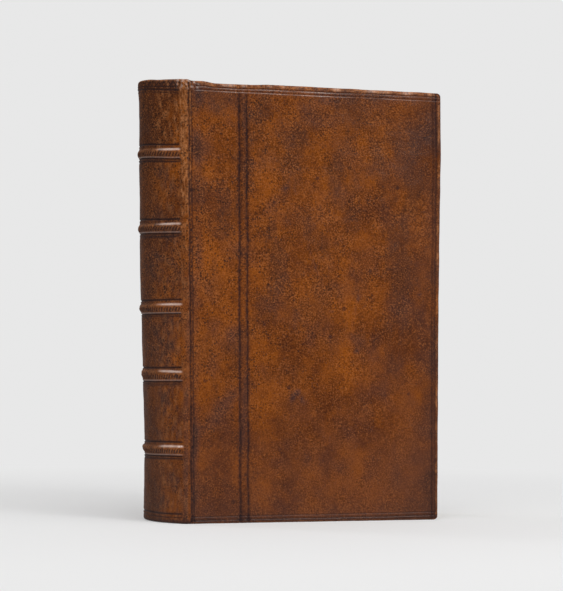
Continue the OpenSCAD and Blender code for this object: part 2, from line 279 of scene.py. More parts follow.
class SkinWork:
    """The work on a stretch of skin, at s along it and z up it: its height above its plain form, and tones.
    a is the distance from the middle of the spine and x that from the joint. start is where the worn ridge
    begins, panel is 1 between the ridges, board is 1 on a cover, and wobble is how the hand strayed."""

    def __init__(self, s, z):
        self.s, self.z = s, z
        self.a, self.x = np.abs(s), np.abs(s) - JOINT_S
        self.start = ridge_start(z) + 0.25 * waves(z, 0 * z, 22, 3)
        self.panel = 1 - smooth(self.a, self.start - 1.2, self.start + 0.2)
        self.board = smooth(self.x, 0.6, 2.2)
        self.wobble = 0.1 * waves(s, z, 30, 5)
        self.height = 0.07 * waves(s, z, 36, 11) + 0.05 * waves(s, z, 13, 12) + 0.02 * waves(s, z, 5, 13)
        self.tooled, self.worn, self.sheen_and_painted_highlight = (np.zeros_like(self.height) for _ in range(3))

    def press(self, line, width, depth, dark, where, blur=1.35):
        """Presses in a line where `where` is 1, and darkens it over `blur` times its width."""
        self.height += groove(line, width, depth) * where
        self.tooled += dark * hill(line / (blur * width)) * where

    def raise_band(self, i, level):
        """Moulds the leather over a cord: a band with a flat top, a rope of slanting strokes low on it, a
        crest rubbed by handling with a painted highlight on its upper face, a painted highlight along its
        lower foot, and lines beside it."""
        s, z, a = self.s, self.z, self.a
        t = (z - level) / (BAND_W / 2)
        over = 1 - smooth(a, self.start - 1.3, self.start + 0.5)
        crest = t - BAND_SHIFT[i] / (BAND_W / 2) * middle(s, CREST_REACH)
        self.height += BAND_RISE[i] * steps(crest, BAND_FORM) * over * (1 + 0.08 * waves(s, z, 9, 30 + i))
        rope = smooth(t, -0.72, -0.6) * (1 - smooth(t, -0.06, 0.04)) * over
        twist = np.cos(2 * math.pi * (s / ROPE_STEP + z / ROPE_RISE))
        self.height += ROPE_D * rope * twist
        # Nowhere does the leather lie inside the cord
        beside = np.minimum(np.abs(settled(s, z) - level), CORD_R)
        cord = CORD_OUT + 0.1 - CORD_R + np.sqrt(CORD_R ** 2 - beside ** 2)
        cord = cord - BULGE - lean(z) * middle(s, LEAN_REACH)
        self.height += np.maximum(cord - self.height, 0) * over * (beside < CORD_R)
        self.tooled += rope * (0.42 - 0.5 * twist)
        self.worn += (0.45 * hill((crest - 0.3) / 0.3) + 0.35 * rope * np.clip(twist, 0, 1)) * over
        # Painted highlights: pale on the upper face of the crest, strongest towards the ridge, and a thin
        # line along the lower foot
        painted_glint = smooth(a, 11, 19) * (1 - 0.25 * smooth(a, 21.5, 25)) * (1 + 0.2 * waves(s, z, 4, 65 + i))
        self.sheen_and_painted_highlight += (1.75 * hill((crest - 0.46) / 0.16) * painted_glint + 0.55 * hill((t + 0.9) / 0.09)) * over
        for gap, width, depth in BAND_LINES:
            line = z - level - math.copysign(BAND_W / 2, gap) - gap - self.wobble
            self.press(line, width, depth, 1.1, self.panel)

    def rule_spine(self):
        """Rules lines across the spine at head and tail, and rolls a zigzag over teeth at the head."""
        s, z = self.s, self.z
        for level, width, depth, dark in SPINE_LINES:
            self.press(z - level - self.wobble, width, depth, dark, self.panel, 1.3)
        zigzag = np.abs(2 * ((s / ROLL_STEP) % 1) - 1) - 0.5
        roll = np.abs(z - ROLL_Z - 1.3 * zigzag) / 1.5
        teeth = (z - ROLL_TEETH) + 0.18 * np.cos(2 * math.pi * s / (ROLL_STEP / 2))
        self.height += (-0.2 * hill(roll / 0.2) + groove(teeth, 0.24, 0.22)) * self.panel
        self.tooled += (0.9 * hill(roll / 0.26) + 0.95 * hill(teeth / 0.34)) * self.panel

    def wear_ridge(self):
        """Rubs the ridge, most towards the head, and rumples the leather where it folds there, with painted
        highlights on the rumples.
        """
        s, z, a, x = self.s, self.z, self.a, self.x
        self.ridge = smooth(a, self.start - 0.9, self.start + 0.6) * (1 - smooth(x, -0.9, 0.3))
        self.height += self.ridge * (0.14 + 0.08 * waves(s, z, 7, 41) + 0.04 * waves(s, z, 2.6, 42))
        self.streak = waves(s, z / 5, 1.1, 48) * smooth(z, 90, 165)
        rubbed = 0.08 + 0.1 * smooth(z, 30, 80) + 0.64 * smooth(z, 118, 172) + 0.25 * waves(s, z, 9, 43)
        self.worn += self.ridge * np.clip(rubbed + 0.6 * self.streak, 0, 1)
        rumple = smooth(z, 191.5, 194) * smooth(a, self.start - 3, self.start) * (1 - smooth(x, 1, 5))
        # Painted highlight: pale spots on the rumpled leather at the head
        self.sheen_and_painted_highlight += 0.8 * rumple * smooth(waves(s, z, 2.2, 46), -0.2, 0.9)
        self.height += rumple * (0.22 * waves(s, z, 2.6, 44) + 0.12 * waves(s, z, 1.3, 45))

    def rule_cover(self):
        """Rules a cover's lines, faint in places. The inner pair stops short of the head, the lines at the
        head have a painted highlight on their lower lip, and the leather between close lines is a little
        darker."""
        s, z, x, board = self.s, self.z, self.x, self.board
        for top, low, width, depth, dark in UPRIGHTS:
            line = x - np.interp(z, [0, COVER_H], [low, top]) - self.wobble
            faint = 0.92 + 0.12 * waves(z, 0 * z, 17, 50 + int(top)) + 0.28 * waves(s, z, 1.5, 54)
            faint = np.clip(faint, 0.15, 1) * (1 - smooth(z, 191.4, 192.2) * (10 < top < 60))
            self.height += groove(line, width, depth * (0.9 + 0.1 * faint))
            ragged = 1 + 0.35 * waves(s, z, 1.6, 53)
            self.tooled += dark * hill(line / (1.35 * width * np.clip(ragged, 0.5, 2))) * faint
        for inner, outer, width, depth, dark in LEVELS:
            line = z - np.interp(x, [0, COVER_W], [inner, outer]) - 0.6 * self.wobble
            # Painted highlight on the lower lip of each line at the head, weaker towards the fore-edge
            polish_and_highlight = 0.7 * hill((line + 0.5) / 0.2) * board * (0.7 + 0.3 * waves(x, 0 * x, 14, 61))
            self.sheen_and_painted_highlight += polish_and_highlight * (inner > COVER_H / 2) * (1 - 0.55 * smooth(x, 40, 105))
            self.press(line, width, depth, dark, board)
        between = (x - np.interp(z, [0, COVER_H], [26.2, 23.7])) / 1.7
        pairs = hill((x - 117.0) / 0.9) + 0.5 * hill(between ** 2)
        pairs += (0.5 * hill((z - 193.2) / 0.8) + 0.5 * hill((z - 2.3) / 0.8)) * board
        self.tooled += 0.3 * pairs

    def wear_edges(self):
        """Rubs a cover's edges, bares the head edge in patches that take a painted highlight, and flecks the
        spine's panels.
        """
        s, z = self.s, self.z
        self.edge = np.minimum(np.minimum(z, COVER_H - z), COVER_W - np.maximum(self.x, 0))
        rim = 1 - 0.8 * (1 - smooth(z, 1.5, 3))
        fray_and_highlight = frayed_and_highlit(s, z) * self.board
        # Painted highlight on the bare patches of the head edge
        self.sheen_and_painted_highlight += 0.35 * fray_and_highlight
        patches = np.clip(0.45 + 0.7 * waves(s, z, 8, 60), 0, 1)
        self.worn += 0.8 * fray_and_highlight + 0.75 * hill((self.edge - 1.1) / 0.6) * patches * self.board * rim
        flecks = (0.3 + 0.35 * smooth(z, 162, 170)) * np.clip(waves(s, z / 2.5, 3, 22), 0, 1)
        self.worn += flecks * self.panel * smooth(self.a, 8, 16)

    def clouds_and_painted_shadow(self):
        """How far the leather is darkened: towards its edges, joint and fore-edge and lower down, in cloudy
        patches and in stains of age, and along the very foot in a painted contact shadow.
        """
        s, z, x, panel, board = self.s, self.z, self.x, self.panel, self.board
        # The bell at the foot is a painted contact shadow; the rest darkens towards the border and the joint
        total = 0.26 * hill((self.edge - 2) / 7) * board + hill(z / 1.6) + 0.35 * hill((x - 2.5) / 2.2)
        total += 0.4 * smooth(z, 191, 194) * panel
        total += 0.24 * smooth(x, 60, 120) + 0.3 * smooth(-z, -70, 0) * board
        total += 0.6 * smooth(z, 193.8, 195) * np.clip(-waves(s, z, 8, 60), 0, 1) * board
        total += 0.5 * hill((z - 9) / 9) * panel
        mottle = 0.22 * waves(s, z, 12, 18) + 0.12 * waves(s, z, 4, 19) + 0.2 * waves(s, z / 3, 2.4, 21)
        total += mottle * panel
        total += self.ridge * (0.78 * (1 - smooth(z, 20, 80)) - 0.3 * smooth(z, 120, 170) - 0.2 * self.streak)
        total += 0.16 * waves(s, z, 24, 16) * smooth(z, 0, 90) + 0.08 * waves(s, z, 9, 17)
        for place, level, across, along, slant, strength in STAINS:
            cos, sin = math.cos(math.radians(slant)), math.sin(math.radians(slant))
            u = ((x - place) * cos + (z - level) * sin) / across
            v = (-(x - place) * sin + (z - level) * cos) / along
            total += strength * np.exp(-(u ** 2 + v ** 2) ** 1.2) * (s < 0)
        return total


# The tones of the leather: tooling, with a painted contact shadow at the foot; wear; darkening by age,
# with the same painted shadow and painted shade on the wrapped edges; painted shade in the middle of
# the spine; and gloss, which carries painted highlights
TONES = ("tooled", "worn", "clouded_and_painted_shade", "shade", "sheen_and_painted_highlight")


def skin_detail(s, z):
    """Height of the leather above its plain form, and its tones in the order of TONES."""
    work = SkinWork(s, z)
    for i, level in enumerate(BAND_Z):
        work.raise_band(i, level)
    work.rule_spine()
    work.wear_ridge()
    work.rule_cover()
    work.wear_edges()
    height = work.height * (1 - smooth(work.x, COVER_W - 1.4, COVER_W) * 0.4)
    # A painted contact shadow along the very foot, laid on with the tooling's dark
    tooled = work.tooled + 0.7 * hill(z / 1.4)
    worn = work.worn * (1 - 0.6 * np.clip(tooled, 0, 1))
    # Painted shade: the middle of the spine, which turns away from the lamps, is darkened, and roughened too
    shade = 1 - smooth(work.a, 4, 24)
    dull = [np.clip(t, 0, 1) for t in (tooled, worn, work.clouds_and_painted_shadow(), shade)]
    return height, dull + [np.clip(work.sheen_and_painted_highlight, 0, 1.6)]


def skin_point(s, z, height, depth):
    """Points of the skin: `height` out from its plain form, fading as they go `depth` into the leather."""
    x, y, out_x, out_y = plan(s)
    out = height * np.clip(1 - depth / 1.5, 0, 1) - depth
    settle = lean(z) * middle(s, LEAN_REACH)
    return np.stack(np.broadcast_arrays(x + out_x * out - settle, y + out_y * out, z), -1)


# Where the rows of the skin lie close: at the lines across it and at the bands
LINE_KNOTS = [((inner + outer) / 2, 0.9, 9) for inner, outer, *_ in LEVELS]
LINE_KNOTS += [(level, 0.8, 9) for level, *_ in SPINE_LINES] + [(ROLL_TEETH, 0.8, 9), (ROLL_Z, 1.3, 9)]
LINE_KNOTS += [(level + move, reach, 7) for level in BAND_Z for move, reach in ((-0.9, 2.9), (1.4, 2.6))]
ROWS = spread(EDGE_R, COVER_H - EDGE_R, 372, LINE_KNOTS)
# The angles of a quarter round
ARC = np.linspace(0, math.pi / 2, 7)[1:]


def quads(index):
    """Four-sided faces between neighbours in a table of vertex numbers."""
    a, b, c, d = index[:-1, :-1], index[:-1, 1:], index[1:, 1:], index[1:, :-1]
    return np.stack([a, b, c, d], -1).reshape(-1, 4)


def numbered(points):
    """Vertex numbers of a table of points."""
    rows, across = points.shape[:2]
    return np.arange(rows * across).reshape(rows, across)


def tube_faces(points):
    """Faces of a tube given as a table of points with a ring in each row: its wall and its two ends."""
    index = numbered(points)
    return [quads(np.concatenate([index, index[:, :1]], axis=1)), index[0].tolist(), index[-1].tolist()]


def loop_faces(points):
    """Faces of a tube given as a table of points with a ring in each column: its wall and its two ends."""
    index = numbered(points)
    return [quads(np.concatenate([index, index[:1]])), index[:, 0].tolist(), index[:, -1].tolist()]


def two_sided(rows, across):
    """Faces of a thin sheet given as two tables of points, one a side, with walls round its rim."""
    index = np.arange(rows * across).reshape(rows, across)
    rim = np.concatenate([index[0, :-1], index[:-1, -1], index[-1, :0:-1], index[::-1, 0]])
    return [quads(index), quads(index + rows * across), quads(np.stack([rim, rim + rows * across]))]


# Points nearer than this are one, and edges that turn by more than this many degrees stay sharp
DOUBLES = 0.002
SHARP = 42


def make_piece(name, points, groups, material, tones=None, uv=None, second=None):
    """Makes a mesh object of points in millimetres. A group of faces is a table of them or a single one.
    Doubles are merged and the faces turned outwards; `tones` are point attributes and `uv` gives (u, v) a
    point. `second` is another material and the number of faces at the end of the list that take it."""
    mesh = bpy.data.meshes.new(name)
    faces = []
    for group in groups:
        faces += group.tolist() if isinstance(group, np.ndarray) else [group]
    world = (points.reshape(-1, 3) + np.array([JOINT_X, 0, 0])) * MM
    mesh.from_pydata(world.tolist(), [], faces)
    for tone, values in (tones or {}).items():
        layer = mesh.attributes.new(tone, "FLOAT", "POINT")
        layer.data.foreach_set("value", values.ravel().astype(np.float32))
    if uv is not None:
        corner = np.empty(len(mesh.loops), dtype=np.int32)
        mesh.loops.foreach_get("vertex_index", corner)
        mesh.uv_layers.new(name="UVMap").uv.foreach_set("vector", uv[corner].astype(np.float32).ravel())
    mesh.materials.append(material)
    if second:
        mesh.materials.append(second[0])
        slots = np.zeros(len(faces), dtype=np.int32)
        slots[-second[1]:] = 1
        mesh.polygons.foreach_set("material_index", slots)
    shape = bmesh.new()
    shape.from_mesh(mesh)
    bmesh.ops.remove_doubles(shape, verts=shape.verts, dist=DOUBLES * MM)
    bmesh.ops.recalc_face_normals(shape, faces=shape.faces)
    shape.to_mesh(mesh)
    shape.free()
    mesh.shade_smooth()
    mesh.set_sharp_from_angle(angle=math.radians(SHARP))
    piece = bpy.data.objects.new(name, mesh)
    bpy.context.scene.collection.objects.link(piece)
    return piece


class Recipe:
    """A procedural material, with a short call for each kind of node. Sizes are millimetres on the object."""

    def __init__(self, name):
        self.material = bpy.data.materials.new(name)
        self.material.use_nodes = True
        self.tree = self.material.node_tree
        self.shader = self.tree.nodes["Principled BSDF"]
        self.place = self.node("ShaderNodeTexCoord").outputs["Object"]
        self.flat = None

    def node(self, kind, settings=None, **sockets):
        """A new node, with its settings and what goes into its sockets."""
        made = self.tree.nodes.new(kind)
        for key, value in (settings or {}).items():
            setattr(made, key, value)
        for key, value in sockets.items():
            self.put(made.inputs[key.replace("_", " ")], value)
        return made

    def put(self, socket, value):
        """Links another socket to this one, or gives it a value."""
        if isinstance(value, bpy.types.NodeSocket):
            self.tree.links.new(value, socket)
        else:
            socket.default_value = value

    def turned(self, angles, scale, place=None):
        """Coordinates turned by degrees and stretched, for a pattern with a grain."""
        turn = [math.radians(a) for a in angles]
        node = self.node("ShaderNodeMapping", Vector=place or self.place, Rotation=turn, Scale=scale)
        return node.outputs["Vector"]

    def noise(self, size, detail=2.0, rough=0.5, place=None, twist=0.0):
        """Cloudy noise with clouds of about `size`."""
        node = self.node("ShaderNodeTexNoise", Vector=place or self.place, Scale=1 / (size * MM),
                         Detail=detail, Roughness=rough, Distortion=twist)
        return node.outputs["Fac"]

    def cells(self, size):
        """Distance to the nearest of points scattered about `size` apart, and a random number for each."""
        node = self.node("ShaderNodeTexVoronoi", Vector=self.place, Scale=1 / (size * MM))
        luck = self.node("ShaderNodeSeparateColor", Color=node.outputs["Color"])
        return node.outputs["Distance"], luck.outputs[0]

    def math(self, operation, a, b):
        """One operation on two numbers or sockets."""
        node = self.node("ShaderNodeMath", {"operation": operation})
        for socket, value in zip(node.inputs, (a, b)):
            self.put(socket, value)
        return node.outputs[0]

    def times(self, a, b):
        """a times b."""
        return self.math("MULTIPLY", a, b)

    def plus(self, a, b):
        """a plus b."""
        return self.math("ADD", a, b)

    def step(self, value, low, high, start=0.0, end=1.0):
        """A smooth step of `value` from start to end, between low and high."""
        node = self.node("ShaderNodeMapRange", {"interpolation_type": "SMOOTHSTEP"}, Value=value)
        for key, number in (("From Min", low), ("From Max", high), ("To Min", start), ("To Max", end)):
            self.put(node.inputs[key], number)
        return node.outputs["Result"]

    def mix(self, amount, a, b):
        """Colour b laid over colour a by an amount from 0 to 1."""
        node = self.node("ShaderNodeMix", {"data_type": "RGBA"})
        for key, value in ((0, amount), (6, a), (7, b)):
            self.put(node.inputs[key], value)
        return node.outputs[2]

    def tone(self, name):
        """A tone that make_piece gave to the points."""
        return self.node("ShaderNodeAttribute", {"attribute_name": name}).outputs["Fac"]

    def spots(self, size, radius, share, soft):
        """Round spots of random size in a share of the cells: 1 inside them, 0 between them."""
        distance, luck = self.cells(size)
        reach = self.times(self.step(luck, 1 - share, 1.0), radius)
        return self.step(self.math("SUBTRACT", reach, distance), 0.0, soft)

    def bump(self, height, depth, strength):
        """A low relief, `depth` deep, over the ones before it."""
        node = self.node("ShaderNodeBump", Height=height, Distance=depth * MM, Strength=strength)
        if self.flat:
            self.put(node.inputs["Normal"], self.flat)
        self.flat = node.outputs["Normal"]

    def finish(self, colour, roughness, **sockets):
        """The material, once its shader has its colour, roughness, relief and other sockets."""
        self.put(self.shader.inputs["Base Color"], colour)
        self.put(self.shader.inputs["Roughness"], roughness)
        if self.flat:
            self.put(self.shader.inputs["Normal"], self.flat)
        for key, value in sockets.items():
            self.put(self.shader.inputs[key.replace("_", " ")], value)
        return self.material


def rgb(red, green, blue):
    """A colour as it is seen, 0 to 255 a channel, as the linear light that a shader takes."""
    seen = [c / 255 for c in (red, green, blue)]
    return tuple(((c + 0.055) / 1.055) ** 2.4 if c > 0.04045 else c / 12.92 for c in seen) + (1.0,)


def calf_recipe(name):
    """Polished calf, sprinkled with iron salt: mottled brown under dark specks, purplish where aged, and with
    painted shade and painted highlights laid into its colour.
    """
    r = Recipe(name)
    worn, tooled, clouded_and_painted_shade, shade, sheen_and_painted_highlight = (r.tone(n) for n in ("worn", "tooled", "clouded_and_painted_shade", "shade", "sheen_and_painted_highlight"))
    brown, orange = rgb(88, 41, 10), rgb(134, 69, 13)
    umber, dusty, bare = rgb(60, 28, 6), rgb(82, 53, 40), rgb(178, 118, 74)
    purple, deep_purple = rgb(68, 47, 45), rgb(42, 34, 37)
    broad = r.noise(30, 3, 0.55)
    patchy = r.noise(7, 4, 0.6, twist=0.4)
    drift = r.plus(r.times(broad, 0.6), r.times(patchy, 0.4))
    colour = r.mix(r.step(drift, 0.36, 0.64), brown, orange)

    # Tone: a slanting haze, cloudy patches and stains of age with painted shade on the wrapped edges and a
    # painted shadow at the foot, painted shade over the top of the book, a drift of tone at its foot and
    # across it, painted shade on the spine, and rubbing
    slanted = r.turned((0, 38, 0), (1, 1, 0.45))
    stain = r.mix(r.step(clouded_and_painted_shade, 0.7, 1.0), purple, deep_purple)
    along = r.node("ShaderNodeSeparateXYZ", Vector=r.place).outputs
    across, height = along["X"], along["Z"]
    haze = r.step(r.noise(11, 4, 0.6, slanted), 0.44, 0.64)
    haze = r.times(haze, r.step(height, 0.03, 0.12, 0.3, 1.0))
    colour = r.mix(r.times(haze, 0.55), colour, rgb(72, 41, 28))
    # Purple darkening of age, with painted shade on the wrapped edges and a painted shadow at the foot
    colour = r.mix(r.times(clouded_and_painted_shade, 0.75), colour, stain)
    # Painted shade: the top of the book darkened against the top lamp's sheen
    colour = r.mix(r.step(height, 0.11, 0.19, 0.0, 0.16), colour, umber)
    colour = r.mix(r.step(height, 0.07, 0.0, 0.0, 0.2), colour, dusty)
    colour = r.mix(r.step(across, 0.03, 0.062, 0.0, 0.14), colour, umber)
    # Painted shade in the middle of the spine
    colour = r.mix(r.times(shade, 0.68), colour, rgb(56, 31, 20))
    rubbed = r.times(worn, r.step(r.noise(1.6, 3, 0.65), 0.36, 0.6, 0.2, 1.0))
    colour = r.mix(r.times(rubbed, 0.8), colour, bare)

    # The sprinkling: a close mottle of light and dark, and three sizes of specks
    thick = r.times(r.step(r.noise(9, 3, 0.6), 0.34, 0.66, 0.5, 0.95), r.step(height, 0.02, 0.1, 0.6, 1.0))
    thick = r.times(thick, r.step(rubbed, 0.0, 1.0, 1.0, 0.85))
    thick = r.times(thick, r.step(across, 0.03, 0.062, 1.0, 0.72))
    mottle = r.noise(0.68, 2, 0.7)
    pepper = r.times(thick, r.step(across, -0.034, 0.0, 1.0, 0.6))
    colour = r.mix(r.times(r.step(mottle, 0.50, 0.68, 0.0, 0.53), thick), colour, rgb(172, 104, 54))
    colour = r.mix(r.times(r.step(mottle, 0.50, 0.34, 0.0, 0.78), thick), colour, rgb(36, 18, 6))
    fine = r.times(r.spots(1.1, 0.54, 0.8, 0.18), pepper)
    middling = r.times(r.spots(2.4, 0.36, 0.4, 0.2), pepper)
    large = r.spots(6.5, 0.2, 0.45, 0.08)
    colour = r.mix(r.times(fine, 0.88), colour, rgb(30, 17, 10))
    colour = r.mix(r.times(middling, 0.8), colour, rgb(30, 19, 17))
    colour = r.mix(r.times(large, 0.5), colour, rgb(30, 21, 24))
    colour = r.mix(r.times(tooled, 0.85), colour, rgb(32, 21, 24))
    # Painted highlight: a pale pinkish colour on the crests, lips and edges that catch the lamps
    colour = r.mix(r.times(sheen_and_painted_highlight, 0.4), colour, rgb(204, 174, 160))

    # The grain, and a gloss that is highest where the painted highlights lie
    grain = r.noise(0.55, 2, 0.6)
    pores = r.cells(0.8)[0]
    r.bump(r.plus(r.times(grain, 0.6), r.times(r.step(pores, 0.05, 0.5), 0.6)), 0.09, 0.5)
    r.bump(r.noise(4, 4, 0.6), 0.35, 0.35)
    rough = r.plus(r.step(r.noise(5, 3, 0.6), 0.3, 0.7, 0.19, 0.28), r.times(fine, 0.08))
    rough = r.plus(rough, r.times(shade, 0.42))
    rough = r.times(rough, r.step(sheen_and_painted_highlight, 0.2, 1.0, 1.0, 0.7))
    polish_and_highlight = r.times(r.step(sheen_and_painted_highlight, 0.0, 1.0, 0.11, 1.4), r.step(height, 0.1, 0.19, 1.0, 0.7))
    return r.finish(colour, rough, IOR=1.45, Specular_IOR_Level=polish_and_highlight)


def leaf_edge_recipe():
    """Rag paper seen on its cut edges: close lines along the leaves, darker in places and with dust."""
    r = Recipe("leaf_edges")
    uv = r.node("ShaderNodeUVMap", {"uv_map": "UVMap"}).outputs["UV"]
    close = r.turned((0, 0, 0), (2.0, 260.0, 1.0), uv)
    line = r.node("ShaderNodeTexNoise", Vector=close, Scale=1.0, Detail=3.0, Roughness=0.65).outputs["Fac"]
    wide = r.turned((0, 0, 0), (1.5, 24.0, 1.0), uv)
    broad = r.node("ShaderNodeTexNoise", Vector=wide, Scale=1.0).outputs["Fac"]
    colour = r.mix(r.step(line, 0.3, 0.7), rgb(150, 124, 88), rgb(222, 205, 168))
    colour = r.mix(r.step(broad, 0.35, 0.7, 0.0, 0.35), colour, rgb(164, 132, 92))
    colour = r.mix(r.times(r.tone("dust"), 0.6), colour, rgb(112, 92, 70))
    colour = r.mix(r.times(r.step(r.noise(6, 3), 0.55, 0.75), 0.35), colour, rgb(172, 132, 84))
    r.bump(line, 0.12, 0.7)
    return r.finish(colour, r.step(line, 0.2, 0.8, 0.78, 0.92), IOR=1.45)


def paper_recipe(name, light, dark):
    """Laid rag paper: faint laid lines, mottling and foxing, and a border browned by the leather."""
    r = Recipe(name)
    colour = r.mix(r.step(r.noise(26, 3), 0.35, 0.65), light, dark)
    laid = r.node("ShaderNodeTexWave", {"bands_direction": "Z"}, Vector=r.place, Scale=260.0, Distortion=0.6)
    colour = r.mix(r.times(laid.outputs["Fac"], 0.10), colour, rgb(150, 122, 84))
    foxed = r.times(r.spots(9, 0.26, 0.5, 0.12), r.step(r.noise(1.2, 3), 0.35, 0.6))
    colour = r.mix(r.times(foxed, 0.5), colour, rgb(150, 98, 52))
    stain = r.times(r.tone("stained"), r.step(r.noise(5, 3), 0.25, 0.6, 0.55, 1.0))
    colour = r.mix(r.times(stain, 0.65), colour, rgb(136, 92, 54))
    r.bump(r.noise(0.7, 3, 0.6), 0.06, 0.5)
    r.bump(r.noise(9, 3), 0.3, 0.3)
    return r.finish(colour, r.step(r.noise(3), 0.3, 0.7, 0.80, 0.92), IOR=1.45)


def fibre_recipe(name, light, dark, size, depth):
    """A plain fibrous stuff such as pasteboard or parchment: two tones, short fibres and a low relief."""
    r = Recipe(name)
    fibres = r.noise(size, 4, 0.7, r.turned((20, 35, 50), (1, 0.3, 1)))
    colour = r.mix(r.step(fibres, 0.3, 0.7), dark, light)
    colour = r.mix(r.step(r.noise(14, 3), 0.4, 0.7, 0, 0.35), colour, dark)
    r.bump(fibres, depth, 0.6)
    return r.finish(colour, r.step(fibres, 0.3, 0.7, 0.75, 0.9), IOR=1.45)


def cord_recipe():
    """Hemp cord: strands laid round in slanting waves."""
    r = Recipe("hemp_cord")
    slant = {"bands_direction": "DIAGONAL"}
    lay = r.node("ShaderNodeTexWave", slant, Vector=r.place, Scale=240.0, Distortion=1.5).outputs["Fac"]
    colour = r.mix(lay, rgb(126, 100, 62), rgb(190, 164, 114))
    colour = r.mix(r.step(r.noise(3, 3), 0.4, 0.7, 0, 0.4), colour, rgb(110, 86, 54))
    r.bump(lay, 0.25, 0.8)
    return r.finish(colour, r.step(lay, 0, 1, 0.9, 0.75), IOR=1.45)


def thread_recipe():
    """Sewn endband: red-brown and natural silk in turn, dusty and faded."""
    r = Recipe("endband_silk")
    colour = r.mix(r.tone("thread"), rgb(140, 66, 48), rgb(202, 180, 138))
    colour = r.mix(r.step(r.noise(2, 3), 0.35, 0.7, 0, 0.5), colour, rgb(110, 84, 60))
    r.bump(r.noise(0.3, 2), 0.05, 0.5)
    return r.finish(colour, r.step(r.noise(1), 0.3, 0.7, 0.5, 0.7), IOR=1.5, Sheen_Weight=0.3)


def lasting_tones(tones, head, inside, tail):
    """Tones of a wrapped skin by name, for so many rows over the head, inside and under the tail: the face's,
    whose last row goes on over the head and whose first goes on under the tail, and none inside."""
    none = np.zeros((inside, tones[0].shape[1]))
    return {name: np.concatenate([t, np.repeat(t[-1:], head, 0), none, np.repeat(t[:1], tail, 0)])
            for name, t in zip(TONES, tones)}


def spine_skin(material):
    """The skin over the spine, with its bands and caps. A closed section is carried round the plan: up the
    outside, over the head cap, down the inside and under the tail cap."""
    end = JOINT_S - JOINT_HALF
    s = spread(-end, end, 226, [(-24.5, 3.4, 1.6), (24.5, 3.4, 1.6)])[None, :]
    rows = ROWS[:, None]
    height, tones = skin_detail(s + 0 * rows, rows + 0 * s)
    outside = skin_point(s, rows, height, 0 * rows)
    outside[..., 2] = settled(s, rows)

    # How far a cap reaches over its endband, and how deep its curve is, both less towards the joints
    cap = CAP_W - 0.9 * smooth(np.abs(s), 22, end)
    over = 1.5 - 0.5 * smooth(np.abs(s), 22, end)
    under = HEAD + 2 * ENDBAND_R

    def turn(z_start, way, edge):
        """Round the end of the spine: a quarter ellipse, across the cap, and round its lip."""
        arc = [(edge + way * EDGE_R * math.sin(t), over * (1 - math.cos(t))) for t in ARC]
        arc += [(z_start + 0 * s, over + (cap - CAP_LIP - over) * k) for k in (0.33, 0.67, 1.0)]
        arc += [(z_start - way * CAP_LIP * (1 - math.cos(t)), cap - CAP_LIP + CAP_LIP * math.sin(t))
                for t in ARC[1::2]]
        return arc

    def ring(pairs, fade):
        """Rows of points at pairs of height and depth, with the relief of the row that they go on from."""
        parts = []
        for z, depth in pairs:
            z = z + 0 * s
            point = skin_point(s, z, fade, depth + 0 * s)
            point[..., 2] = settled(s, z)
            parts.append(point)
        return parts

    head = ring(turn(COVER_H, 1, COVER_H - EDGE_R), height[-1:])
    tail = ring(turn(0.0, -1, EDGE_R), height[:1])
    inner_z = np.linspace(under, FOOT - 2 * ENDBAND_R, 14)
    inside = [skin_point(s, under + 0 * s, 0 * s, cap)]
    inside += [skin_point(s, z + 0 * s, 0 * s, LEATHER_T + 0 * s) for z in inner_z]
    inside += [skin_point(s, inner_z[-1] + 0 * s, 0 * s, cap)]
    loop = np.concatenate([outside] + head + inside + tail[::-1], axis=0)
    lasting = lasting_tones(tones, len(head), len(inside), len(tail))
    lasting["worn"][len(ROWS):len(ROWS) + len(head)] = 0.6 + 0.2 * waves(s, 0 * s, 6, 71)
    return make_piece("calf_spine", loop, loop_faces(loop), material, lasting)


def joint_skin(name, side, material):
    """The skin across a joint, between the spine and a cover: a strip whose section is a D that wraps head
    and tail. Its columns lie close in the middle, at the joint."""
    near = np.concatenate([np.linspace(-JOINT_HALF, -0.16, 8), np.linspace(-0.13, 0.13, 15),
                           np.linspace(0.16, JOINT_HALF, 8)])
    s = side * (JOINT_S + near)[None, :]
    rows = ROWS[:, None]
    height, tones = skin_detail(s + 0 * rows, rows + 0 * s)
    parts = [skin_point(s, rows, height, 0 * rows)]
    for way, edge, fade in ((1, COVER_H - EDGE_R, height[-1:]), (-1, EDGE_R, height[:1])):
        arcs = []
        for t in ARC:
            z, depth = edge + way * EDGE_R * math.sin(t), EDGE_R * (1 - math.cos(t))
            arcs.append(skin_point(s, z + 0 * s, fade, depth + 0 * s))
        parts.append(np.concatenate(arcs if way > 0 else arcs[::-1]))
    inner = [skin_point(s, z + 0 * s, 0 * s, LEATHER_T + 0 * s) for z in np.linspace(COVER_H - 3, 3, 30)]
    loop = np.concatenate([parts[0], parts[1]] + inner + [parts[2]])
    loop[..., 2] = settled(s, loop[..., 2])
    lasting = lasting_tones(tones, len(ARC), len(inner), len(ARC))
    return make_piece(name, loop, loop_faces(loop), material, lasting)


def round_corners(x, z):
    """The grid of a cover's face with its outer corners rounded as an ellipse grid is: in the square of each
    corner, (u, v) goes to (u sqrt(1 - v²/2), v sqrt(1 - u²/2))."""
    u = np.clip((x - CORNER_X) / CORNER_BOW, 0, 1)
    v = np.clip(np.maximum((CORNER_LOW - z), (z - CORNER_HIGH)) / CORNER_BOW, 0, 1)
    up = np.where(z > COVER_H / 2, 1.0, -1.0)
    x = np.where(u > 0, CORNER_X + CORNER_BOW * u * np.sqrt(1 - v ** 2 / 2), x)
    centre = np.where(up > 0, CORNER_HIGH, CORNER_LOW)
    return x, np.where(v > 0, centre + up * CORNER_BOW * v * np.sqrt(1 - u ** 2 / 2), z)


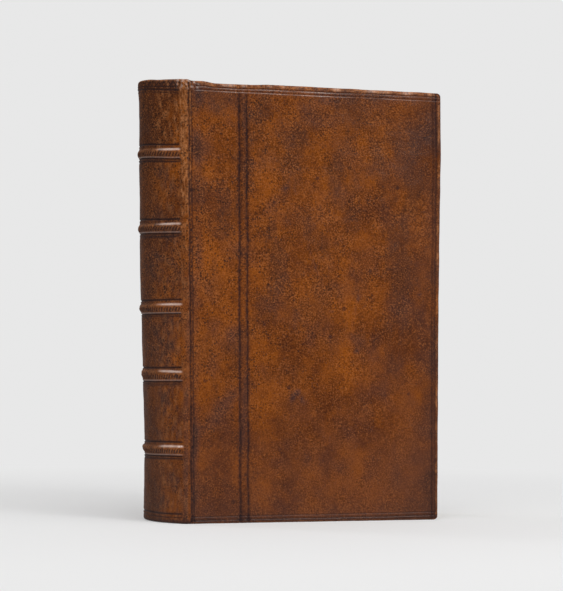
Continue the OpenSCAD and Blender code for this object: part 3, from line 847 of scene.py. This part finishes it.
def cover_wrap():
    """Section of the leather round a cover's edge, from its face to the inside of its turn-in.
    Each place says how far out it is, how deep, and how ragged the edge makes it. A quarter round comes
    first, then the edge, a smaller quarter round and the turn-in, whose cut edge steps down to the board."""
    inner_r = 0.7
    wrap = [(EDGE_R * math.sin(t), EDGE_R * (1 - math.cos(t)), math.sin(t)) for t in ARC]
    wrap += [(EDGE_R, COVER_T * k, 1.0) for k in (0.4, 0.6, 0.8)]
    for t in ARC:
        out, depth = EDGE_R - inner_r * (1 - math.cos(t)), COVER_T - inner_r * (1 - math.sin(t))
        wrap.append((out, depth, math.cos(t)))
    wrap += [(-k, COVER_T, 0.0) for k in (1.5, 4.0, 8.0)]
    wrap += [(EDGE_R - TURN_IN_W, COVER_T, 0.0)]
    wrap += [(EDGE_R - TURN_IN_W - 0.5, COVER_T - TURN_IN_T + 0.08, 0.0)]
    return wrap + [(0.0, COVER_T - TURN_IN_T - 0.05, 0.0), (0.0, LEATHER_T, 0.0)]


def cover_skin(name, side, material):
    """The skin of one cover: its face with the tooling, and a section carried round its border, which wraps
    three edges and turns in on the inside."""
    # The columns lie close at the joint and at the lines up the cover
    knots = [(JOINT_HALF, 2.6, 9), (23.1, 0.8, 10), (26.8, 0.8, 10), (116.9, 1.7, 9), (118.8, 0.9, 9)]
    columns = spread(JOINT_HALF, COVER_W - EDGE_R, 150, knots)
    x, z = np.meshgrid(columns, ROWS)
    # The columns slant with the inner pair of lines
    x = x + np.interp(z, [0, COVER_H], [1.3, -1.3]) * hill((x - 25) / 9) ** 2 * (1 - hill(x - JOINT_HALF))
    x, z = round_corners(x, z)
    s = side * (JOINT_S + x)
    height, tones = skin_detail(s, z)
    face = skin_point(s, z, height, 0 * z)
    index = numbered(face)

    border = np.concatenate([index[0], index[1:, -1], index[-1, -2::-1]])
    edge_x, edge_z = x.ravel()[border], z.ravel()[border]
    core_x, core_z = np.minimum(edge_x, CORNER_X), np.clip(edge_z, CORNER_LOW, CORNER_HIGH)
    way = np.stack([edge_x - core_x, edge_z - core_z], -1)
    way /= np.linalg.norm(way, axis=1)[:, None]
    along = np.cumsum(np.concatenate([[0], np.hypot(np.diff(edge_x), np.diff(edge_z))]))
    ragged = 0.05 * waves(along, 0 * along, 12, 81 + side) + 0.02 * waves(along, 0 * along, 3, 82 + side)
    torn = 0.25 * waves(along, 0 * along, 16, 83 + side)
    half = COVER_H / 2
    rings, ring_tones = [], []
    for out, depth, rough in cover_wrap():
        # Further in than the corners' centres, the centres themselves draw in with the section
        inset = max(-out - CORNER_BOW + 0.05, 0)
        inner_w = CORNER_X - inset - JOINT_HALF
        ring_x = JOINT_HALF + (core_x - JOINT_HALF) * inner_w / (CORNER_X - JOINT_HALF)
        ring_z = half + (core_z - half) * (CORNER_HIGH - inset - half) / (CORNER_HIGH - half)
        reach = max(CORNER_BOW + out, 0.05) + ragged * rough
        reach = reach + (torn if out < EDGE_R - TURN_IN_W + 0.1 else 0.0)
        ring_x, ring_z = ring_x + way[:, 0] * reach, ring_z + way[:, 1] * reach
        corner = hill((np.abs(way[:, 0]) - np.abs(way[:, 1])) / 0.25) * (1.0 if -12 < out < 0 else 0.0)
        deep = depth - 0.18 * corner
        edge_s = side * (JOINT_S + ring_x)
        rings.append(skin_point(edge_s, ring_z, height.ravel()[border], deep))
        handled = 1 if 0 < out and depth < COVER_T - 1 else 0.35
        rubbed = (0.6 + 0.3 * waves(along, 0 * along, 8, 84)) * handled
        at_head = smooth(edge_z, COVER_H - 4, COVER_H - 2)
        fray_and_highlight = frayed_and_highlit(edge_s, edge_z) * (depth < 1.5)
        # On the wrapped edges: the face's tooling half carried over, rubbing, painted shade darkening the
        # edges that turn away from the face, and a painted highlight on the bare head edge
        ring_tones.append([tones[0].ravel()[border] * (0.5 if depth < 0.5 else 0),
                           np.clip(rubbed * (0.35 + 0.65 * at_head) + 0.8 * fray_and_highlight, 0, 1),
                           0.7 - 0.35 * at_head - 0.35 * fray_and_highlight, 0 * along, 0.35 * fray_and_highlight])
    ring_index = index.size + np.arange(len(rings) * len(border)).reshape(len(rings), -1)
    points = np.concatenate([face.reshape(-1, 3)] + rings)
    points[:, 2] = settled(side * (JOINT_S + np.maximum(points[:, 0], 0)), points[:, 2])
    points[:, 0] -= points[:, 0] / COVER_W * np.interp(points[:, 2], *TAPER)
    points[:, 2] = np.maximum(points[:, 2], 0)
    mouth = index[::-1, 0].tolist() + ring_index[:, 0].tolist() + ring_index[::-1, -1].tolist()
    wall = quads(np.concatenate([border[None, :], ring_index]))
    values = {tone: np.concatenate([tones[k].ravel()] + [ring[k] for ring in ring_tones])
              for k, tone in enumerate(TONES)}
    return make_piece(name, points, [quads(index), wall, ring_index[-1].tolist(), mouth], material, values)


def leaf_block(material, outer_leaf):
    """The leaves as one block. A point is (q, u, v): leaf q from -1 to 1 across the block, u along it from
    the spine, which is an arc, to the fore-edge, which is a hollow arc, and v up it. The leaves fan out to
    the ears at the spine, and every gathering ends a little long or short."""
    rng = np.random.default_rng(7)
    q = np.linspace(-1, 1, 219)
    u = np.linspace(0, 1, 84) ** 2.1
    v = (1 - np.cos(math.pi * np.linspace(0, 1, 40))) / 2
    last = GATHERINGS - 1
    gathering = rng.uniform(-1, 1, GATHERINGS)[np.minimum(((q + 1) * last / 2).astype(int), last)]
    uneven = 0.10 * gathering + 0.05 * rng.uniform(-1, 1, len(q))
    fore_ragged = 0.22 * gathering + 0.10 * rng.uniform(-1, 1, len(q))
    hollow = math.sqrt(BLOCK_R ** 2 - LEAF_Y ** 2)

    def place(q, u, v, rough, fore_rough):
        """Points of the block at q, u and v: rough moves head and tail, and fore_rough the fore-edge."""
        spine_x = AXIS_X - np.sqrt(BLOCK_R ** 2 - (EAR_Y * q) ** 2)
        fore_x = FORE_X + hollow - np.sqrt(BLOCK_R ** 2 - (LEAF_Y * q) ** 2)
        x = spine_x + (fore_x - spine_x) * u
        bend = 0.3 + 8 * (1 - np.abs(q))
        ear = 1 - smooth(x, -0.14 - bend, -0.14)
        y = q * (LEAF_Y + (EAR_Y - LEAF_Y) * ear)
        z = FOOT + (HEAD - FOOT) * v + rough * (2 * v - 1) ** 9
        x = x + fore_rough * smooth(u, 0.9, 1) - lean(z) * middle(q * SPINE_END, LEAN_REACH) * (1 - u) ** 3
        return np.stack(np.broadcast_arrays(x, y, z), -1)

    ends = uneven[:, None]
    fore = fore_ragged[:, None]
    parts = []
    for level in (0.0, 1.0):
        parts.append((place(q[:, None], u[None, :], level, ends, fore), q, u, 0.9 if level else 0.35))
    for along in (0.0, 1.0):
        parts.append((place(q[:, None], along, v[None, :], ends, fore), q, v, 0.3))
    for leaf, row in ((-1.0, 0), (1.0, -1)):
        grid = place(leaf, u[:, None], v[None, :], uneven[row], fore_ragged[row])
        parts.append((grid, leaf + 0.002 * u, v, 0.15))
    points, faces, uvs, dust, base = [], [], [], [], 0
    for grid, first, second, dusty in parts:
        index = numbered(grid)
        points.append(grid.reshape(-1, 3))
        faces.append(quads(base + index))
        uvs.append(np.stack(np.broadcast_arrays(second[None, :], first[:, None]), -1).reshape(-1, 2))
        dust.append(np.full(index.size, dusty))
        base += index.size
    outer = len(faces[-1]) + len(faces[-2])
    tones = {"dust": np.concatenate(dust), "stained": np.concatenate(dust)}
    return make_piece("leaves", np.concatenate(points), faces, material, tones, uv=np.concatenate(uvs),
                      second=(outer_leaf, outer))


def bent_tube(bow, around, thick, z):
    """Points of a tube at the height z, laid round the back of the leaves: a circle of radius `thick`, by its
    angle `around`, carried through the angle `bow` of the back."""
    distance = ENDBAND_REACH + thick * np.cos(around)
    height = z + thick * np.sin(around) + 0 * bow
    x = AXIS_X - distance * np.cos(bow) - lean(height) * middle(bow * ENDBAND_REACH, LEAN_REACH)
    return np.stack([x, distance * np.sin(bow), height], -1)


def sewn_endband(name, z, material):
    """An endband: a bent tube whose radius swells and sinks with each turn of the thread, which runs round it
    as a screw and changes colour after every three turns."""
    bow = (np.linspace(-1, 1, 420) * (ROUND - math.radians(5)))[:, None]
    around = np.linspace(0, 2 * math.pi, 19)[None, :-1]
    turns = bow * ENDBAND_REACH / THREAD_W + around / (2 * math.pi)
    thick = (ENDBAND_R - 0.02) * (0.93 + 0.07 * np.abs(np.sin(math.pi * turns)))
    # The first and last two rings draw in and close the ends
    closing = np.concatenate([np.zeros(2), np.ones(len(bow) - 4), np.zeros(2)])[:, None] * 0.9 + 0.1
    points = bent_tube(bow, around, thick * closing, z)
    striped = (np.floor(turns) % 6 < 3).astype(float)
    return make_piece(name, points, tube_faces(points), material, {"thread": striped})


def endband_core(name, z, material):
    """The cord inside an endband: a plain bent tube, a little shorter than the thread over it."""
    bow = (np.linspace(-1, 1, 160) * (ROUND - math.radians(5.6)))[:, None]
    around = np.linspace(0, 2 * math.pi, 15)[None, :-1]
    points = bent_tube(bow, around, CORE_R, z)
    return make_piece(name, points, tube_faces(points), material)


def back_lining(name, node, material):
    """A parchment lining: a thin sheet on the back of the leaves between two cords, as an arc carried up.
    It has a hair's gap to the leaves and to the leather."""
    rows, across = 24, 70
    low, high = box_mm(node)
    bow = (np.linspace(-1, 1, across) * math.asin(high[1] / (BLOCK_R + LINING_T)))[None, None, :]
    z = np.linspace(low[2] + 0.1, high[2] - 0.3, rows)[None, :, None]
    reach = np.array([BLOCK_R + LINING_T - 0.03, BLOCK_R + 0.03])[:, None, None]
    x = AXIS_X - reach * np.cos(bow) - lean(z) * middle(bow * SPINE_R, LEAN_REACH)
    points = np.stack(np.broadcast_arrays(x, reach * np.sin(bow), z), -1)
    return make_piece(name, points, two_sided(rows, across), material)


def pasted_sheet(name, side, material):
    """A pastedown: a thin sheet that lies on the board, steps up softly over the turn-ins and cockles."""
    x0, x1 = paste_low[0] - JOINT_X, paste_high[0] - JOINT_X
    z0, z1 = paste_low[2], paste_high[2]
    fold = [(COVER_W - TURN_IN_W, 1.5, 7)]
    x = spread(x0, x1, 80, fold)[None, :]
    z = spread(z0, z1, 120, [(TURN_IN_W, 1.5, 7), (COVER_H - TURN_IN_W, 1.5, 7)])[:, None]
    inner = np.minimum(np.minimum(z, COVER_H - z), COVER_W - x) - TURN_IN_W
    sheet = paste_high[1] - paste_low[1] - TURN_IN_T
    low = COVER_T - TURN_IN_T
    face = low + sheet + TURN_IN_T * (1 - smooth(inner, 0.9, 2.3)) + 0.04 * waves(x, z, 22, 92 + side)
    face = np.minimum(face, COVER_T + sheet)
    depth = np.stack([face, face - 0.6 * sheet])
    points = np.stack(np.broadcast_arrays(x, side * (OUTER_Y - depth), z), -1)
    edge = np.minimum(np.minimum(z - z0, z1 - z), x1 - x)
    stained = np.clip(hill(edge / 5) + 0.55 * hill((inner - 2.5) / 3.5) + 0.12 * waves(x, z, 12, 93), 0, 1)
    return make_piece(name, points, two_sided(len(z), x.shape[1]), material,
                      {"stained": np.tile(stained.ravel(), 2)})


def hinge_paper(name, side, material):
    """The fold of the endpaper in the joint: a thin sheet in the shape of a U, carried up the book. It runs
    down the shoulder of the leaves, turns at the bottom of the joint, and runs up the edge of the board."""
    z = np.linspace(paste_low[2] + 0.1, paste_high[2] - 0.1, 60)
    bend = np.linspace(0, math.pi, 25)
    # Half the way across the joint, how far in its bottom lies, and half the thickness of the paper
    half, floor, sheet = 0.10, 1.3, 0.035
    left = [(-half, d) for d in np.linspace(4.9, floor + 0.15, 8)]
    turn = [(-half * math.cos(t), floor - 0.12 * math.sin(t)) for t in bend]
    right = [(half, d) for d in np.linspace(floor + 0.15, 4.15, 7)] + [(0.2, 4.34), (0.36, 4.40), (0.6, 4.46)]
    path = np.array(left + turn + right)
    tangent = np.gradient(path, axis=0)
    tangent /= np.linalg.norm(tangent, axis=1)[:, None]
    across = np.stack([-tangent[:, 1], tangent[:, 0]], -1)
    section = np.concatenate([path + sheet * across, (path - sheet * across)[::-1]])
    x = section[None, :, 0] + 0 * z[:, None]
    y = side * (OUTER_Y - section[None, :, 1]) + 0 * z[:, None]
    points = np.stack([x, y, z[:, None] + 0 * x], -1)
    return make_piece(name, points, tube_faces(points), material, {"stained": np.full(x.shape, 0.5)})


# The photograph's view: its target is so far along the front cover from the joint, and so high
CAM_AZIMUTH = math.radians(-19.19)
CAM_ELEVATION = math.radians(-1.645)
CAM_DISTANCE = 0.9859
CAM_ROLL = math.radians(0.446)
CAM_LENS = 134.0
CAM_SENSOR = 36.0
CAM_TARGET = Vector(((JOINT_X + 42.64) * MM, -OUTER_Y * MM, 0.10145))


def place_camera():
    """Looks at the target from the photograph's azimuth and height."""
    camera = bpy.data.cameras.new("camera")
    camera.lens = CAM_LENS
    camera.sensor_width = CAM_SENSOR
    holder = bpy.data.objects.new("camera", camera)
    level = math.cos(CAM_ELEVATION)
    back = Vector((math.sin(CAM_AZIMUTH) * level, -math.cos(CAM_AZIMUTH) * level, math.sin(CAM_ELEVATION)))
    holder.location = CAM_TARGET + back * CAM_DISTANCE
    holder.rotation_euler = back.to_track_quat("Z", "Y").to_euler()
    holder.rotation_euler.rotate_axis("Z", CAM_ROLL)
    bpy.context.scene.collection.objects.link(holder)
    bpy.context.scene.camera = holder


def soft_lamp(name, place, target, size, power):
    """A square softbox at a place in metres, turned towards the target."""
    lamp = bpy.data.lights.new(name, "AREA")
    lamp.size = size
    lamp.energy = power
    holder = bpy.data.objects.new(name, lamp)
    holder.location = place
    holder.rotation_euler = (Vector(place) - Vector(target)).to_track_quat("Z", "Y").to_euler()
    bpy.context.scene.collection.objects.link(holder)


# The paper sweep: the tone that the camera sees, its own colour, and how strongly the room lights the book
PAPER_WHITE = 0.806
SWEEP_TONE = 0.825
ROOM_LIGHT = 0.36
# Its floor, from in front of the book to the curve, the curve's radius, the wall's top and half the width
SWEEP_FRONT = -2.2
SWEEP_BACK = 1.7
SWEEP_R = 0.6
SWEEP_TOP = 2.6
SWEEP_SIDE = 2.6
# How far from the book the lit floor starts and ends going over into the plain tone
PLAIN_FROM = 0.2
PLAIN_TO = 0.5


def seen_plainly(r, shown):
    """Shows one plain tone to the camera, in gloss and through glass, and the lit surface to the rest."""
    path = r.node("ShaderNodeLightPath").outputs
    seen = r.math("MAXIMUM", r.math("MAXIMUM", path["Is Camera Ray"], path["Is Glossy Ray"]),
                  path["Is Transmission Ray"])
    glow = r.node("ShaderNodeEmission", Color=(PAPER_WHITE, PAPER_WHITE, PAPER_WHITE, 1.0), Strength=1.0)
    out = r.tree.nodes["Material Output"]
    both = r.node("ShaderNodeMixShader", Fac=r.times(seen, shown))
    r.tree.links.new(r.shader.outputs[0], both.inputs[1])
    r.tree.links.new(glow.outputs[0], both.inputs[2])
    r.tree.links.new(both.outputs[0], out.inputs["Surface"])


def make_stage():
    """A pale sweep: a floor that curves up into a wall behind the book, as a profile carried across.
    Near the book it is lit and keeps the shadow, and further off it goes over into one plain tone."""
    bend = np.linspace(0, math.pi / 2, 14)[1:]
    floor = np.linspace(SWEEP_FRONT, SWEEP_BACK, 40)
    wall = np.linspace(SWEEP_R + 0.2, SWEEP_TOP, 6)
    back = np.concatenate([floor, SWEEP_BACK + SWEEP_R * np.sin(bend), 0 * wall + SWEEP_BACK + SWEEP_R])
    up = np.concatenate([0 * floor, SWEEP_R - SWEEP_R * np.cos(bend), wall])
    wide = np.linspace(-SWEEP_SIDE, SWEEP_SIDE, 27)
    ca, sa = math.cos(CAM_AZIMUTH), math.sin(CAM_AZIMUTH)
    x = wide[:, None] * ca - back[None, :] * sa
    y = wide[:, None] * sa + back[None, :] * ca
    points = np.stack([x, y, up[None, :] + 0 * x], -1)
    mesh = bpy.data.meshes.new("sweep")
    mesh.from_pydata(points.reshape(-1, 3).tolist(), [], quads(numbered(points)).tolist())
    mesh.shade_smooth()
    r = Recipe("paper_sweep")
    far = r.node("ShaderNodeVectorMath", {"operation": "LENGTH"})
    r.put(far.inputs[0], r.place)
    r.finish((SWEEP_TONE, SWEEP_TONE, SWEEP_TONE, 1.0), 0.9, IOR=1.2)
    seen_plainly(r, r.step(far.outputs["Value"], PLAIN_FROM, PLAIN_TO, 0.3, 1.0))
    mesh.materials.append(r.material)
    stage = bpy.data.objects.new("sweep", mesh)
    bpy.context.scene.collection.objects.link(stage)


def light_world():
    """A pale room: plain white light from all round, which the camera sees as the sweep's tone."""
    world = bpy.data.worlds.new("pale_room")
    world.use_nodes = True
    tree = world.node_tree
    background = tree.nodes["Background"]
    background.inputs["Color"].default_value = (1.0, 1.0, 1.0, 1.0)
    path = tree.nodes.new("ShaderNodeLightPath")
    seen = path.outputs["Is Camera Ray"]
    for ray in ("Is Glossy Ray", "Is Transmission Ray"):
        either = tree.nodes.new("ShaderNodeMath")
        either.operation = "MAXIMUM"
        tree.links.new(seen, either.inputs[0])
        tree.links.new(path.outputs[ray], either.inputs[1])
        seen = either.outputs[0]
    tone = tree.nodes.new("ShaderNodeMapRange")
    tone.inputs["To Min"].default_value = ROOM_LIGHT
    tone.inputs["To Max"].default_value = PAPER_WHITE
    tree.links.new(seen, tone.inputs["Value"])
    tree.links.new(tone.outputs["Result"], background.inputs["Strength"])
    bpy.context.scene.world = world


bpy.context.scene.view_settings.view_transform = "Standard"
place_camera()
light_world()
make_stage()
# Each lamp's place and target, its size and its power
soft_lamp("top_softbox", (-0.04, -1.0, 1.85), (0.0, 0.0, 0.05), 2.2, 29.5)
soft_lamp("side_softbox", (0.62, -1.22, 0.72), (0.0, 0.0, 0.10), 0.45, 6.0)
soft_lamp("rear_lamp", (-0.50, 0.46, 0.98), (-0.06, 0.0, 0.12), 0.15, 1.0)

calf = calf_recipe("sprinkled_calf")
leaf_edges = leaf_edge_recipe()
endpaper = paper_recipe("endpaper", rgb(220, 206, 172), rgb(209, 191, 152))
parchment = fibre_recipe("parchment", rgb(214, 200, 162), rgb(184, 164, 122), 2.2, 0.08)
pasteboard = fibre_recipe("pasteboard", rgb(172, 150, 116), rgb(136, 114, 84), 1.4, 0.2)
hemp = cord_recipe()
silk = thread_recipe()

# The pieces made here: each rides on its body and replaces its node of the source
spine = spine_skin(calf)
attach(spine, "book_back")
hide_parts("spine_leather")

block = leaf_block(leaf_edges, endpaper)
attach(block, "book_back")
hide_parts("text_block")

for node, level in (("head_band", HEAD + ENDBAND_R), ("tail_band", FOOT - ENDBAND_R)):
    band = sewn_endband(node + "_thread", level, silk)
    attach(band, "book_back")
    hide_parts(node)
    core = endband_core(node + "_cord", level, hemp)
    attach(core, "book_back")
    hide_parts(node + "_core")

for number in range(1, 7):
    lining = back_lining(f"parchment_lining_{number}", f"spine_lining_{number}", parchment)
    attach(lining, "book_back")
    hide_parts(f"spine_lining_{number}")

for cover, side in (("front", -1), ("back", 1)):
    body = cover + "_cover"
    skin = cover_skin("calf_" + cover, side, calf)
    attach(skin, body)
    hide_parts(cover + "_leather")
    sheet = pasted_sheet("pasted_" + cover, side, endpaper)
    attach(sheet, body)
    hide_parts(cover + "_pastedown")
    # The leather and the paper across the joint, which ride on no body and stay where they are made
    joint = joint_skin("calf_joint_" + cover, side, calf)
    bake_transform(joint)
    fold = hinge_paper("paper_joint_" + cover, side, endpaper)
    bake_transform(fold)

# The boards, the cords and their slips stay as the source has them
for name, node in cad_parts.items():
    stuff = None
    if "board" in name:
        stuff = pasteboard
    elif "slip" in name or "sewing_cord" in name:
        stuff = hemp
    if stuff:
        node.data.materials.clear()
        node.data.materials.append(stuff)
